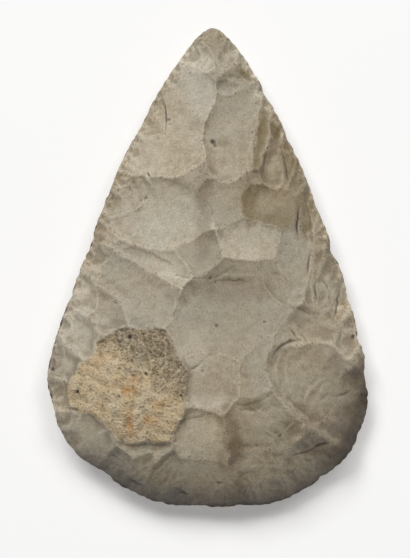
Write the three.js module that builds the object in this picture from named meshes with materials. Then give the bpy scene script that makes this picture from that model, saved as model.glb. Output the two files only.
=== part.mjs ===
// Stone hand axe: a pointed, teardrop-shaped biface of flint, lying on its
// plainer face. One closed solid. Millimetres; X across, +Y toward the tip,
// +Z up; the flat resting spot is at z = 0.
import * as THREE from "three";

// ---- driving sizes, mm -------------------------------------------------------
const LENGTH = 160;        // butt to tip
const WIDTH = 107;         // at the widest, low on the body
const EDGE_HEIGHT = 13.6;  // middle plane of the sharp edge above the floor
const LOWER_SHARE = 0.76;  // fullness of the under face against the upper one
const HOLLOW = 1.15;       // how hollow the scars are against their listed depths
const REST_LONG = 22;      // half length of the flat resting spot
const REST_WIDE = 15;      // half width of it
const REST_Y = -20;        // its centre, under the centre of mass
const EDGE_TWIST = 1.3;    // the edge plane twists this much, corner to corner

// ---- mesh fineness -------------------------------------------------------------
const ROWS = 66, UPPER_COLUMNS = 50, LOWER_COLUMNS = 24, RIM_STEPS = 200;

// Outline stations: distance along the axis from mid-length, then how far the
// edge stands to the left and to the right of the axis.
const STATIONS = [
  [ 76.0,  4.3,  7.3], [ 66.0, 11.8, 14.6], [ 52.0, 20.4, 22.4],
  [ 36.0, 28.5, 30.0], [ 18.0, 36.0, 37.2], [  0.0, 42.6, 44.2],
  [-18.0, 49.2, 49.0], [-36.0, 53.6, 53.4], [-50.0, 50.8, 52.3],
  [-60.0, 45.6, 48.2], [-68.0, 36.0, 40.8], [-74.5, 26.0, 31.0],
  [-78.9, 13.0, 19.5],
];
const TIP_X = 1.2, BUTT_X = 3.0, BUTT_LIFT = 0.3;

// Chips bitten out of the edge: x, y, radius, depth.
const BITES = [
  [ 18.6,  56.8, 2.6, 0.8], [ 27.0,  42.5, 3.5, 0.4], [ 41.5,   5.5, 3.2, 1.3],
  [ 46.8, -10.0, 2.6, 0.6], [ 51.0, -23.5, 2.4, 0.8], [ 53.3, -36.5, 5.0, 1.2],
  [ 51.2, -55.8, 3.0, 0.6], [ 37.5, -69.8, 3.0, 0.5], [ 11.5, -79.6, 4.5, 0.9],
  [ -3.5, -79.8, 3.5, 0.6], [-35.5, -68.6, 3.4, 1.0], [-26.0, -75.0, 5.0, 0.4],
  [-46.0,  -9.5, 4.0, 0.5], [-52.0, -44.5, 4.0, 0.6], [-40.0,   7.0, 4.5, 0.5],
  [-22.5,  47.5, 5.0, 0.5],
];

// Flake scars of the upper face. Each is a shallow dish left by one removal:
// centre x, y, heading of the blow in degrees, reach ahead, half width,
// depth of the dish, and how deep its rim already sits below the raw dome.
const TIP_SCARS = [
  [  2.5,  74.0, -80,  8.0,  3.4, 0.4, 0.4],
  [ -4.5,  71.0, -50,  7.0,  4.6, 0.6, 0.5],
  [  7.0,  70.5, 215,  5.0,  4.4, 0.7, 0.7],
  [ 12.0,  64.5, 205,  4.5,  3.2, 0.5, 0.9],
  [ -9.0,  62.5, -20,  9.0,  6.0, 0.5, 0.5],
  [ -5.0,  56.0, -12,  9.0,  9.0, 0.8, 0.6],
  [  9.0,  59.5, 175,  6.2,  4.4, 0.9, 1.2],
  [ 12.0,  52.5, 190,  9.0,  5.5, 0.8, 0.8],
];
const LEFT_SCARS = [
  [-17.0,  46.0, -35, 15.8, 15.8, 1.5, 0.9],
  [-22.0,  44.0, -45,  6.0,  4.0, 0.5, 1.6],
  [-15.0,  17.0, -12, 15.5, 11.5, 1.5, 1.2],
  [-28.5,  25.0, -15,  8.0,  6.0, 0.8, 1.1],
  [-36.0,  11.5, -25,  6.5,  3.2, 0.6, 1.4],
  [-36.5,   5.0,  -8,  7.5,  4.0, 0.8, 1.6],
  [-22.0,   0.5,  -8, 13.5,  6.8, 0.5, 1.7],
  [-21.5,  -8.0, -42, 13.0,  9.5, 1.3, 1.3],
  [-42.0,  -9.0, -55,  7.5,  5.0, 0.9, 1.9],
  [-34.0, -14.0, -30,  7.0,  6.0, 0.8, 1.4],
  [-44.5, -21.0, -52,  8.5,  5.6, 1.0, 2.0],
  [-48.0, -31.0, -40,  7.0,  5.5, 0.8, 1.9],
  [-50.0, -41.0,  -5,  5.0,  5.5, 0.8, 1.5],
];
const MIDDLE_SCARS = [
  [  6.0,  22.0, 200, 10.0,  8.5, 0.7, 0.5],
  [ -2.0,   3.5, -50,  7.0,  7.5, 0.8, 0.9],
  [  4.0, -16.5, 222, 17.5, 15.5, 2.1, 1.2],
  [  1.0, -36.5, 265, 10.5,  9.0, 1.1, 1.6],
  [ 14.5, -34.5, 262, 10.0,  6.8, 0.9, 1.1],
];
const RIGHT_SCARS = [
  [  8.0,  42.5, 262, 13.2,  8.6, 1.4, 1.2],
  [ 17.5,  43.5, 262,  7.5,  2.4, 0.8, 1.6],
  [ 21.6,  34.5, 266,  7.6,  3.2, 0.9, 2.4],
  [ 26.0,  36.0, 262,  9.5,  2.6, 0.7, 2.1],
  [ 29.5,  29.5, 255,  7.0,  2.4, 0.6, 1.9],
  [ 21.5,  20.5, 166, 11.0,  7.0, 1.0, 1.4],
  [ 32.5,  16.0, 262,  8.5,  2.4, 0.8, 2.2],
  [ 36.5,  12.5, 235,  4.5,  2.8, 0.7, 1.8],
  [ 15.0,   6.8, 178, 12.0,  9.6, 1.3, 0.9],
  [ 28.5,   1.0, 258, 12.6,  8.0, 1.3, 1.5],
  [ 21.5,  -4.5, 205,  4.5,  4.5, 0.7, 1.3],
  [ 35.5,  -5.0, 266, 10.0,  2.2, 0.6, 2.0],
  [ 39.5,  -4.5, 258,  9.5,  3.4, 0.8, 2.2],
  [ 45.0, -11.5, 250,  7.8,  3.4, 0.8, 2.4],
  [ 46.8, -22.5, 250,  6.5,  3.2, 0.8, 2.3],
  [ 34.0, -20.5, 195, 12.5,  7.6, 1.3, 1.5],
  [ 33.0, -35.5, 142, 13.5, 11.0, 1.4, 2.1],
  [ 46.5, -38.0, 180,  6.0,  4.2, 0.8, 2.5],
  [ 47.0, -50.0, 155,  9.5,  7.5, 0.9, 2.6],
];
const BUTT_SCARS = [
  [ 17.5, -51.0,  95, 11.5, 12.0, 1.2, 0.9],
  [ -3.0, -55.0, 100,  8.2,  8.8, 1.0, 1.9],
  [ 16.0, -66.0,  92,  8.0,  9.0, 1.0, 1.8],
  [ 34.0, -67.5, 102,  8.0,  8.5, 0.7, 2.7],
  [ -3.0, -70.0,  88, 10.0,  8.6, 1.1, 2.3],
  [-16.0, -70.5,  55,  9.5,  4.4, 0.5, 2.6],
  [-22.5, -67.5,  60,  9.0,  4.4, 0.5, 2.4],
  [-11.0, -76.5,  88,  4.0,  5.5, 0.5, 3.2],
  [-20.0, -60.5,  75,  5.0,  9.0, 0.8, 1.7],
  [ 20.0, -75.0,  95,  5.0,  6.0, 0.8, 2.6],
  [-41.0, -57.0,  58,  8.2,  8.5, 0.9, 2.2],
  [-31.5, -68.0,  58,  7.5,  6.2, 0.6, 2.5],
  [-25.5, -74.0,  75,  3.6,  4.2, 0.4, 3.0],
];
const UPPER_SCARS = [...TIP_SCARS, ...LEFT_SCARS, ...MIDDLE_SCARS, ...RIGHT_SCARS, ...BUTT_SCARS];

// The patch of the nodule's outer skin left on the upper face: its centre, and
// its radius every 20 degrees counter-clockwise from +X.
const SKIN = { x: -25, y: -39, floor: 1.4, tilt: 0.06, lip: 1.1 };
const SKIN_RADII = [18.4, 19.2, 19.2, 21.0, 20.2, 20.2, 18.3, 16.8, 19.0,
                    22.1, 22.1, 16.7, 15.5, 17.4, 18.3, 21.6, 18.4, 19.0];

// ---- small helpers -------------------------------------------------------------
const clamp = (v, a, b) => Math.min(b, Math.max(a, v));
const smooth = (a, b, v) => { const t = clamp((v - a) / (b - a), 0, 1); return t * t * (3 - 2 * t); };
// Repeatable dice: the same rolls every time.
const dice = (seed) => () => (seed = (seed * 48271) % 2147483647) / 2147483647;
const radians = (a) => a * Math.PI / 180;

// A smooth closed curve through the given points.
function smoothLoop(points, steps) {
  const n = points.length, out = [];
  for (let i = 0; i < n; i++) {
    const [a, b, c, d] = [-1, 0, 1, 2].map((k) => points[(i + k + n) % n]);
    for (let s = 0; s < steps; s++) {
      const t = s / steps;
      out.push([0, 1].map((k) => 0.5 * (2 * b[k] + (c[k] - a[k]) * t
        + (2 * a[k] - 5 * b[k] + 4 * c[k] - d[k]) * t * t
        + (-a[k] + 3 * b[k] - 3 * c[k] + d[k]) * t * t * t)));
    }
  }
  return out;
}

// Points at equal distances along an open line.
function evenly(line, count) {
  const run = [0];
  for (let i = 1; i < line.length; i++)
    run.push(run[i - 1] + Math.hypot(line[i][0] - line[i - 1][0], line[i][1] - line[i - 1][1]));
  const out = [];
  for (let i = 0, k = 1; i < count; i++) {
    const want = run[run.length - 1] * i / (count - 1);
    while (k < run.length - 1 && run[k] < want) k++;
    const f = (want - run[k - 1]) / (run[k] - run[k - 1]);
    out.push([0, 1].map((c) => line[k - 1][c] + f * (line[k][c] - line[k - 1][c])));
  }
  return out;
}

// Edge chips push the outline inward round each bite.
function bitten([x, y]) {
  let ix = 1 - x, iy = 0.35 * (-18 - y);
  const len = Math.hypot(ix, iy);
  let push = 0;
  for (const [bx, by, r, depth] of BITES)
    push += depth * Math.exp(-((x - bx) ** 2 + (y - by) ** 2) / r ** 2);
  return [x + push * ix / len, y + push * iy / len];
}

// Left and right edge lines from tip to butt, count points each.
function edgeLines(count) {
  const sx = WIDTH / 107, sy = LENGTH / 160;
  const left = STATIONS.map(([y, l]) => [-l * sx, y * sy]);
  const right = STATIONS.map(([y, , r]) => [r * sx, y * sy]).reverse();
  const tip = [TIP_X, LENGTH / 2], butt = [BUTT_X, BUTT_LIFT - LENGTH / 2];
  const steps = 16, cut = (left.length + 1) * steps;
  const loop = smoothLoop([tip, ...left, butt, ...right], steps);
  return {
    left: evenly(loop.slice(0, cut + 1), count).map(bitten),
    right: evenly([...loop.slice(cut), loop[0]].reverse(), count).map(bitten),
  };
}

const fine = edgeLines(RIM_STEPS);
const RIM = [...fine.left.slice(0, -1), ...fine.right.slice(1).reverse()];
const RIM_SEGMENTS = RIM.map((p, i) => {
  const q = RIM[(i + 1) % RIM.length];
  return [(p[0] + q[0]) / 2, (p[1] + q[1]) / 2, Math.hypot(q[0] - p[0], q[1] - p[1])];
});

// A softened distance to the edge: close to it, it is the plain distance; far
// in, every part of the edge counts, so the dome has no crease along the middle.
function edgeDistance(x, y) {
  const soft = 0.8;
  let sum = 0;
  for (const [mx, my, ds] of RIM_SEGMENTS)
    sum += ds / ((x - mx) ** 2 + (y - my) ** 2 + soft * soft) ** 1.5;
  return Math.sqrt(Math.max(2 / sum - soft * soft, 0));
}

// The raw dome of one face before flaking: steep at the butt, thin at the tip.
function dome(y, d) {
  const t = clamp((y + LENGTH / 2) / LENGTH, 0, 1);
  const slope = 0.64 + 0.9 * (1 - t) ** 3, full = 46 - 14 * t;
  return full * (1 - Math.exp(-slope * d / full));
}

// Scar borders wander a little, as real ridges do.
const WANDER = [[0.62, 0.21, 0.13, 1.3], [0.42, -0.17, 0.37, 4.1],
                [0.26, 0.63, -0.41, 2.2], [0.16, 0.85, 0.97, 0.4]];
function wander(x, y) {
  let wx = x, wy = y;
  for (const [size, kx, ky, phase] of WANDER) {
    wx += size * Math.sin(kx * x + ky * y + phase);
    wy += size * Math.sin(-ky * x + kx * y + phase * 1.7 + 0.8);
  }
  return [wx, wy];
}

// How deep the scars bite below the dome at a point: the deepest dish wins, and
// where two dishes meet they leave a ridge. A dish is nearly flat in the middle
// and steepens toward its rim, where q is 1.
function scarDepth(x, y, scars) {
  let deepest = 0;
  for (const [cx, cy, heading, reach, half, depth, level] of scars) {
    const a = radians(heading), dx = x - cx, dy = y - cy;
    const u = dx * Math.cos(a) + dy * Math.sin(a), v = dy * Math.cos(a) - dx * Math.sin(a);
    const q = Math.hypot(u / (u > 0 ? reach : 1.9 * reach), v / half);
    if (q > 2.4) continue;
    const dish = level + HOLLOW * depth * (1 - q ** 3) - 1.3 * Math.max(q - 1, 0);
    if (dish > deepest) deepest = dish;
  }
  return deepest;
}

// Where a point lies in the skin patch: 0 at its centre, 1 on its border.
function skinReach(x, y) {
  const dx = x - SKIN.x, dy = y - SKIN.y, n = SKIN_RADII.length;
  const turn = ((Math.atan2(dy, dx) / (2 * Math.PI) + 1) % 1) * n;
  const i = Math.floor(turn), f = smooth(0, 1, turn - i);
  const radius = SKIN_RADII[i % n] * (1 - f) + SKIN_RADII[(i + 1) % n] * f;
  return { q: Math.hypot(dx, dy) / radius, radius };
}

// Small flakes trimmed off all round one face's edge.
function trimming(seed, count, reach, half, depth) {
  const roll = dice(seed), out = [];
  for (let k = 0; k < count; k++) {
    const p = RIM[Math.floor((k + 0.35 * roll()) / count * RIM.length) % RIM.length];
    const inward = Math.atan2(0.5 * (-18 - p[1]), -p[0]) * 180 / Math.PI + 40 * (roll() - 0.5);
    const size = 0.65 + 0.7 * roll();
    out.push([p[0], p[1], inward, reach * size, half * size, depth * (0.5 + roll()), 0]);
  }
  return out;
}
const UPPER_TRIM = trimming(5, 44, 5.0, 3.6, 0.5);
const LOWER_TRIM = trimming(17, 40, 6.0, 4.4, 0.8);

// The under face: two rounds of larger removals worked inward from the edge.
function underScars() {
  const roll = dice(29), out = [];
  for (const [count, share, width, depth, level] of [[13, 0.52, 0.42, 1.3, 0.5], [19, 0.24, 0.2, 0.9, 1.7]])
    for (let k = 0; k < count; k++) {
      const p = RIM[Math.floor((k + 0.5 * roll()) / count * RIM.length) % RIM.length];
      const to = [1 - p[0], clamp(p[1], -46, 48) - p[1] + 8 * (roll() - 0.5)];
      const far = Math.hypot(to[0], to[1]), size = 0.85 + 0.35 * roll();
      out.push([p[0] + to[0] * share * 0.8, p[1] + to[1] * share * 0.8,
                Math.atan2(to[1], to[0]) * 180 / Math.PI + 30 * (roll() - 0.5),
                Math.max(5, far * share * size), Math.max(3.5, far * width * size),
                depth * (0.7 + 0.6 * roll()), level + 0.8 * roll()]);
    }
  return out;
}
const UNDER_SCARS = underScars();

// Total depth worked off the upper dome, with the skin patch let into it.
function upperDepth(x, y) {
  const [wx, wy] = wander(x, y);
  const { q, radius } = skinReach(wx, wy);
  const across = 0.7071 * (wy - SKIN.y - (wx - SKIN.x));   // toward the upper left of the patch
  const lip = SKIN.lip * Math.exp(-(((q - 1) * radius / 3.2) ** 2)) * smooth(4, 14, across);
  const scars = scarDepth(wx, wy, UPPER_SCARS) + scarDepth(wx, wy, UPPER_TRIM) + (q > 1 ? lip : 0);
  const skin = SKIN.floor + SKIN.tilt * across + 0.25 * Math.sin(0.9 * wx + 0.5 * wy) * Math.sin(0.8 * wy - 0.4 * wx);
  const inside = smooth(1.04, 0.96, q);
  return scars * (1 - inside) + skin * inside;
}

const middlePlane = (x, y) => EDGE_HEIGHT + EDGE_TWIST * (x / 53) * (y / 80);

function upperHeight(x, y, d) {
  return middlePlane(x, y) + dome(y, d) - upperDepth(x, y);
}

function lowerHeight(x, y, d) {
  const onRest = Math.hypot(x / REST_WIDE, (y - REST_Y) / REST_LONG);
  const [wx, wy] = wander(x + 11, y - 7);
  const worked = (scarDepth(wx - 11, wy + 7, UNDER_SCARS) + scarDepth(wx - 11, wy + 7, LOWER_TRIM))
    * smooth(0.95, 1.45, onRest) * (1 - Math.exp(-d / 4));
  const raw = middlePlane(x, y) - upperDepth(x, y) * Math.exp(-d / 5)
    - LOWER_SHARE * dome(y, d) + worked;
  return Math.max(0, Math.min(raw, upperHeight(x, y, d) - 0.3 * d));
}

// ---- the solid -----------------------------------------------------------------
// Rows run from the left edge to the right edge, bowed toward the tip so that
// they stay evenly spaced round the broad butt; both faces share the edge points.
function axeGeometry() {
  const { left, right } = edgeLines(ROWS + 1);
  const points = [], triangles = [];
  const add = (x, y, z) => points.push([x, y, z]) - 1;
  const tipXY = left[0], buttXY = left[ROWS];

  const columnsAt = (n) => Array.from({ length: n + 1 }, (_, i) => {
    const t = -1 + 2 * i / n;
    return 0.7 * t + 0.3 * Math.sin(t * Math.PI / 2);
  });
  const place = (j, u) => {
    const f = j / ROWS, L = left[j], R = right[j];
    const mx = tipXY[0] + f * (buttXY[0] - tipXY[0]), my = tipXY[1] + f * (buttXY[1] - tipXY[1]);
    const bow = 1 - u * u;
    return [((1 - u) * L[0] + (1 + u) * R[0]) / 2 + bow * (mx - (L[0] + R[0]) / 2),
            ((1 - u) * L[1] + (1 + u) * R[1]) / 2 + bow * (my - (L[1] + R[1]) / 2)];
  };
  const edgePoint = ([x, y]) => add(x, y, upperHeight(x, y, 0));
  const tip = edgePoint(tipXY), butt = edgePoint(buttXY);
  const leftIds = left.map((p, j) => (j === 0 ? tip : j === ROWS ? butt : edgePoint(p)));
  const rightIds = right.map((p, j) => (j === 0 ? tip : j === ROWS ? butt : edgePoint(p)));

  function face(columns, height, upward) {
    const us = columnsAt(columns);
    const rows = [];
    for (let j = 1; j < ROWS; j++) {
      const row = [leftIds[j]];
      for (let i = 1; i < columns; i++) {
        const [x, y] = place(j, us[i]);
        row.push(add(x, y, height(x, y, edgeDistance(x, y))));
      }
      row.push(rightIds[j]);
      rows.push(row);
    }
    const tri = (a, b, c) => triangles.push(upward ? [a, b, c] : [a, c, b]);
    for (let j = 0; j + 1 < rows.length; j++)
      for (let i = 0; i < columns; i++) {
        const a = rows[j][i], b = rows[j][i + 1], c = rows[j + 1][i + 1], d = rows[j + 1][i];
        // Cut each four-sided cell along the diagonal that lies closer to the surface.
        const cx = (points[a][0] + points[b][0] + points[c][0] + points[d][0]) / 4;
        const cy = (points[a][1] + points[b][1] + points[c][1] + points[d][1]) / 4;
        const want = height(cx, cy, edgeDistance(cx, cy));
        const viaAC = Math.abs((points[a][2] + points[c][2]) / 2 - want);
        const viaBD = Math.abs((points[b][2] + points[d][2]) / 2 - want);
        if (viaAC < viaBD) { tri(a, d, c); tri(a, c, b); }
        else { tri(a, d, b); tri(d, c, b); }
      }
    const first = rows[0], last = rows[rows.length - 1];
    for (let i = 0; i < columns; i++) {
      tri(tip, first[i], first[i + 1]);
      tri(butt, last[i + 1], last[i]);
    }
  }
  face(UPPER_COLUMNS, upperHeight, true);
  face(LOWER_COLUMNS, lowerHeight, false);

  const geometry = new THREE.BufferGeometry();
  geometry.setAttribute("position", new THREE.Float32BufferAttribute(points.flat(), 3));
  geometry.setIndex(triangles.flat());
  geometry.computeVertexNormals();
  return geometry;
}

const flint = new THREE.MeshStandardMaterial({ name: "flint", color: "#9d937f", roughness: 0.78, metalness: 0 });
const axe = new THREE.Mesh(axeGeometry(), flint);
axe.name = "hand_axe";
const group = new THREE.Group();
group.name = "stone_hand_axe";
group.add(axe);
export default group;
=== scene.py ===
# %% [markdown]
# # A flint hand axe, lying on its plainer face
#
# A hand axe is one stone, worked by knocking flakes off both faces until a
# sharp edge runs all the way round. This lesson rebuilds one as a height map:
# every point of the outline gets an upper and a lower height, worked out from
# the dome of the raw stone less the dishes that the flakes left. A sculpted
# mesh would look as good, but nobody could change it by a named size later.

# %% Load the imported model
import math

import bpy
import numpy as np
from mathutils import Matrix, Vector


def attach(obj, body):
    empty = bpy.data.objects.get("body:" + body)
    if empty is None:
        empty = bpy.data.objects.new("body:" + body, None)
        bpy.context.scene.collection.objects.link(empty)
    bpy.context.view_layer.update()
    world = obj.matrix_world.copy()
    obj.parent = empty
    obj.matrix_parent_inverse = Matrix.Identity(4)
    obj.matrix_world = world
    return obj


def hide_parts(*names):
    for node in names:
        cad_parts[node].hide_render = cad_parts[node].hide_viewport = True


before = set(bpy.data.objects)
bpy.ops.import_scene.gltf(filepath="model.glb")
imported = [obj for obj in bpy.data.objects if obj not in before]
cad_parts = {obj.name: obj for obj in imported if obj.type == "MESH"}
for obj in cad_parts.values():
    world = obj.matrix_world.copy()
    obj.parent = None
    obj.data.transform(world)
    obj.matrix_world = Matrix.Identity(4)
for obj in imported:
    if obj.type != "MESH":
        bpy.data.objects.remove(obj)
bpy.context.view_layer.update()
MM = 0.001

# %% [markdown]
# ## The outline
#
# Seen from above the axe is a teardrop: a broad round butt to hold, and a
# point to cut with. A few stations along the axis say how far the edge stands
# out on each side, and a smooth curve joins them. Chips are then bitten out
# of that curve. A curve drawn by hand would do too, but the stations are the
# sizes that the solid is made from, so both follow the same line.

# %% Outline stations and chips, in millimetres
LENGTH, WIDTH = 160.0, 107.0
STATIONS = np.array([        # along the axis, out to the left, out to the right
    [76.0, 4.3, 7.3], [66.0, 11.8, 14.6], [52.0, 20.4, 22.4], [36.0, 28.5, 30.0],
    [18.0, 36.0, 37.2], [0.0, 42.6, 44.2], [-18.0, 49.2, 49.0], [-36.0, 53.6, 53.4],
    [-50.0, 50.8, 52.3], [-60.0, 45.6, 48.2], [-68.0, 36.0, 40.8], [-74.5, 26.0, 31.0],
    [-78.9, 13.0, 19.5],
])
TIP, BUTT = (1.2, LENGTH / 2), (3.0, 0.3 - LENGTH / 2)
BITES = [                    # x, y, radius, depth
    [18.6, 56.8, 2.6, 0.8], [27.0, 42.5, 3.5, 0.4], [41.5, 5.5, 3.2, 1.3], [46.8, -10.0, 2.6, 0.6],
    [51.0, -23.5, 2.4, 0.8], [53.3, -36.5, 5.0, 1.2], [51.2, -55.8, 3.0, 0.6], [37.5, -69.8, 3.0, 0.5],
    [11.5, -79.6, 4.5, 0.9], [-3.5, -79.8, 3.5, 0.6], [-35.5, -68.6, 3.4, 1.0], [-26.0, -75.0, 5.0, 0.4],
    [-46.0, -9.5, 4.0, 0.5], [-52.0, -44.5, 4.0, 0.6], [-40.0, 7.0, 4.5, 0.5], [-22.5, 47.5, 5.0, 0.5],
]


def smooth_loop(points, steps):
    """A closed curve through the points: on each stretch, a cubic whose slope at a
    point is half the step from the point before it to the point after."""
    p = np.asarray(points, float)
    before, after, beyond = np.roll(p, 1, 0), np.roll(p, -1, 0), np.roll(p, -2, 0)
    t = (np.arange(steps) / steps)[None, :, None]
    a, b, c, d = (q[:, None, :] for q in (before, p, after, beyond))
    curve = 0.5 * (2 * b + (c - a) * t + (2 * a - 5 * b + 4 * c - d) * t ** 2
                   + (3 * b - 3 * c + d - a) * t ** 3)
    return curve.reshape(-1, 2)


def evenly(line, count):
    """Points at equal distances along an open line."""
    run = np.r_[0, np.cumsum(np.hypot(*np.diff(line, axis=0).T))]
    want = np.linspace(0, run[-1], count)
    return np.c_[np.interp(want, run, line[:, 0]), np.interp(want, run, line[:, 1])]


def bitten(p):
    """Each point moves inward by the sum of the chips round it: depth times
    e to the minus (distance over radius) squared."""
    inward = np.c_[1 - p[:, 0], 0.35 * (-18 - p[:, 1])]
    inward /= np.linalg.norm(inward, axis=1, keepdims=True)
    push = sum(depth * np.exp(-((p[:, 0] - x) ** 2 + (p[:, 1] - y) ** 2) / r ** 2)
               for x, y, r, depth in BITES)
    return p + inward * push[:, None]


def edge_lines(count):
    """The left and the right edge, tip to butt, as count points each."""
    scale = np.array([WIDTH / 107, LENGTH / 160])
    left = np.c_[-STATIONS[:, 1], STATIONS[:, 0]] * scale
    right = (np.c_[STATIONS[:, 2], STATIONS[:, 0]] * scale)[::-1]
    steps = 16
    loop = smooth_loop(np.vstack([TIP, left, BUTT, right]), steps)
    cut = (len(left) + 1) * steps
    back_up = np.vstack([loop[cut:], loop[:1]])[::-1]
    return bitten(evenly(loop[:cut + 1], count)), bitten(evenly(back_up, count))


LEFT, RIGHT = edge_lines(200)
RIM = np.vstack([LEFT[:-1], RIGHT[1:][::-1]])
print("edge length, mm:", round(float(np.hypot(*(np.roll(RIM, -1, 0) - RIM).T).sum()), 1))

# %% [markdown]
# ## The dome and the flake scars
#
# A blow near the edge runs a shallow, shell-like dish into the stone; where
# two dishes meet they leave a ridge. So the face is the raw dome less the
# deepest dish at each point. Each row below is one removal. Sculpting strokes
# would give the same ridges, but here each scar keeps its own named size.

# %% Flake scars: centre x, y, heading of the blow, reach, half width, dish depth, rim depth, tone, warmth
TIP_SCARS = [
    [2.5, 74.0, -80, 8.0, 3.4, 0.4, 0.4, 0.9, 0.0], [-4.5, 71.0, -50, 7.0, 4.6, 0.6, 0.5, 1.2, -0.6],
    [7.0, 70.5, 215, 5.0, 4.4, 0.7, 0.7, 1.0, -0.3], [12.0, 64.5, 205, 4.5, 3.2, 0.5, 0.9, 1.35, -0.8],
    [-9.0, 62.5, -20, 9.0, 6.0, 0.5, 0.5, 1.2, -0.7], [-5.0, 56.0, -12, 9.0, 9.0, 0.8, 0.6, 1.05, -0.5],
    [9.0, 59.5, 175, 6.2, 4.4, 0.9, 1.2, 1.0, -0.5], [12.0, 52.5, 190, 9.0, 5.5, 0.8, 0.8, 1.05, -0.7],
]
LEFT_SCARS = [
    [-17.0, 46.0, -35, 15.8, 15.8, 1.5, 0.9, 1.1, -0.3], [-22.0, 44.0, -45, 6.0, 4.0, 0.5, 1.6, 1.0, 0.0],
    [-15.0, 17.0, -12, 15.5, 11.5, 1.5, 1.2, 1.05, -0.35], [-28.5, 25.0, -15, 8.0, 6.0, 0.8, 1.1, 1.15, 0.0],
    [-36.0, 11.5, -25, 6.5, 3.2, 0.6, 1.4, 1.0, 0.0], [-36.5, 5.0, -8, 7.5, 4.0, 0.8, 1.6, 0.95, -0.2],
    [-22.0, 0.5, -8, 13.5, 6.8, 0.5, 1.7, 1.08, -0.4], [-21.5, -8.0, -42, 13.0, 9.5, 1.3, 1.3, 0.88, -0.35],
    [-42.0, -9.0, -55, 7.5, 5.0, 0.9, 1.9, 1.25, -0.8], [-34.0, -14.0, -30, 7.0, 6.0, 0.8, 1.4, 0.95, -0.6],
    [-44.5, -21.0, -52, 8.5, 5.6, 1.0, 2.0, 1.2, -0.8], [-48.0, -31.0, -40, 7.0, 5.5, 0.8, 1.9, 1.0, -0.6],
    [-50.0, -41.0, -5, 5.0, 5.5, 0.8, 1.5, 1.1, 0.1],
]
MIDDLE_SCARS = [
    [6.0, 22.0, 200, 10.0, 8.5, 0.7, 0.5, 0.76, 0.25], [-2.0, 3.5, -50, 7.0, 7.5, 0.8, 0.9, 0.76, 0.3],
    [4.0, -16.5, 222, 17.5, 15.5, 2.1, 1.2, 0.75, 0.2], [1.0, -36.5, 265, 10.5, 9.0, 1.1, 1.6, 0.9, 0.0],
    [14.5, -34.5, 262, 10.0, 6.8, 0.9, 1.1, 0.85, 0.1],
]
RIGHT_SCARS = [
    [8.0, 42.5, 262, 13.2, 8.6, 1.4, 1.2, 0.9, 0.0], [17.5, 43.5, 262, 7.5, 2.4, 0.8, 1.6, 0.95, 0.2],
    [21.6, 34.5, 266, 7.6, 3.2, 0.9, 2.4, 0.85, 0.35], [26.0, 36.0, 262, 9.5, 2.6, 0.7, 2.1, 0.85, 0.45],
    [29.5, 29.5, 255, 7.0, 2.4, 0.6, 1.9, 0.8, 0.5], [21.5, 20.5, 166, 11.0, 7.0, 1.0, 1.4, 0.78, 0.7],
    [32.5, 16.0, 262, 8.5, 2.4, 0.8, 2.2, 0.85, 0.5], [36.5, 12.5, 235, 4.5, 2.8, 0.7, 1.8, 1.1, 0.1],
    [15.0, 6.8, 178, 12.0, 9.6, 1.3, 0.9, 1.08, -0.15], [28.5, 1.0, 258, 12.6, 8.0, 1.3, 1.5, 0.9, -0.1],
    [21.5, -4.5, 205, 4.5, 4.5, 0.7, 1.3, 1.0, 0.0], [35.5, -5.0, 266, 10.0, 2.2, 0.6, 2.0, 0.92, 0.05],
    [39.5, -4.5, 258, 9.5, 3.4, 0.8, 2.2, 0.9, -0.15], [45.0, -11.5, 250, 7.8, 3.4, 0.8, 2.4, 1.25, -0.2],
    [46.8, -22.5, 250, 6.5, 3.2, 0.8, 2.3, 1.1, -0.15], [34.0, -20.5, 195, 12.5, 7.6, 1.3, 1.5, 1.0, 0.0],
    [33.0, -35.5, 142, 13.5, 11.0, 1.4, 2.1, 0.88, 0.05], [46.5, -38.0, 180, 6.0, 4.2, 0.8, 2.5, 0.8, 0.25],
    [47.0, -50.0, 155, 9.5, 7.5, 0.9, 2.6, 0.85, 0.3],
]
BUTT_SCARS = [
    [17.5, -51.0, 95, 11.5, 12.0, 1.2, 0.9, 0.86, 0.3], [-3.0, -55.0, 100, 8.2, 8.8, 1.0, 1.9, 1.15, 0.1],
    [16.0, -66.0, 92, 8.0, 9.0, 1.0, 1.8, 1.05, 0.2], [34.0, -67.5, 102, 8.0, 8.5, 0.7, 2.7, 0.95, 0.4],
    [-3.0, -70.0, 88, 10.0, 8.6, 1.1, 2.3, 1.05, 0.2], [-16.0, -70.5, 55, 9.5, 4.4, 0.5, 2.6, 0.85, 0.2],
    [-22.5, -67.5, 60, 9.0, 4.4, 0.5, 2.4, 1.0, 0.0], [-11.0, -76.5, 88, 4.0, 5.5, 0.5, 3.2, 0.8, 0.15],
    [-20.0, -60.5, 75, 5.0, 9.0, 0.8, 1.7, 1.3, -0.1], [20.0, -75.0, 95, 5.0, 6.0, 0.8, 2.6, 1.1, 0.0],
    [-41.0, -57.0, 58, 8.2, 8.5, 0.9, 2.2, 1.15, -0.2], [-31.5, -68.0, 58, 7.5, 6.2, 0.6, 2.5, 0.85, -0.15],
    [-25.5, -74.0, 75, 3.6, 4.2, 0.4, 3.0, 0.85, 0.0],
]
UPPER_SCARS = TIP_SCARS + LEFT_SCARS + MIDDLE_SCARS + RIGHT_SCARS + BUTT_SCARS
print("named scars on the upper face:", len(UPPER_SCARS))

# %% The dome, its softened edge distance and the dishes
EDGE_HEIGHT, LOWER_SHARE, EDGE_TWIST, HOLLOW = 13.6, 0.76, 1.3, 1.15


def ease(a, b, v):
    """0 below a, 1 above b, and between them three times t squared less twice t cubed."""
    t = np.clip((v - a) / (b - a), 0, 1)
    return t * t * (3 - 2 * t)


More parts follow.
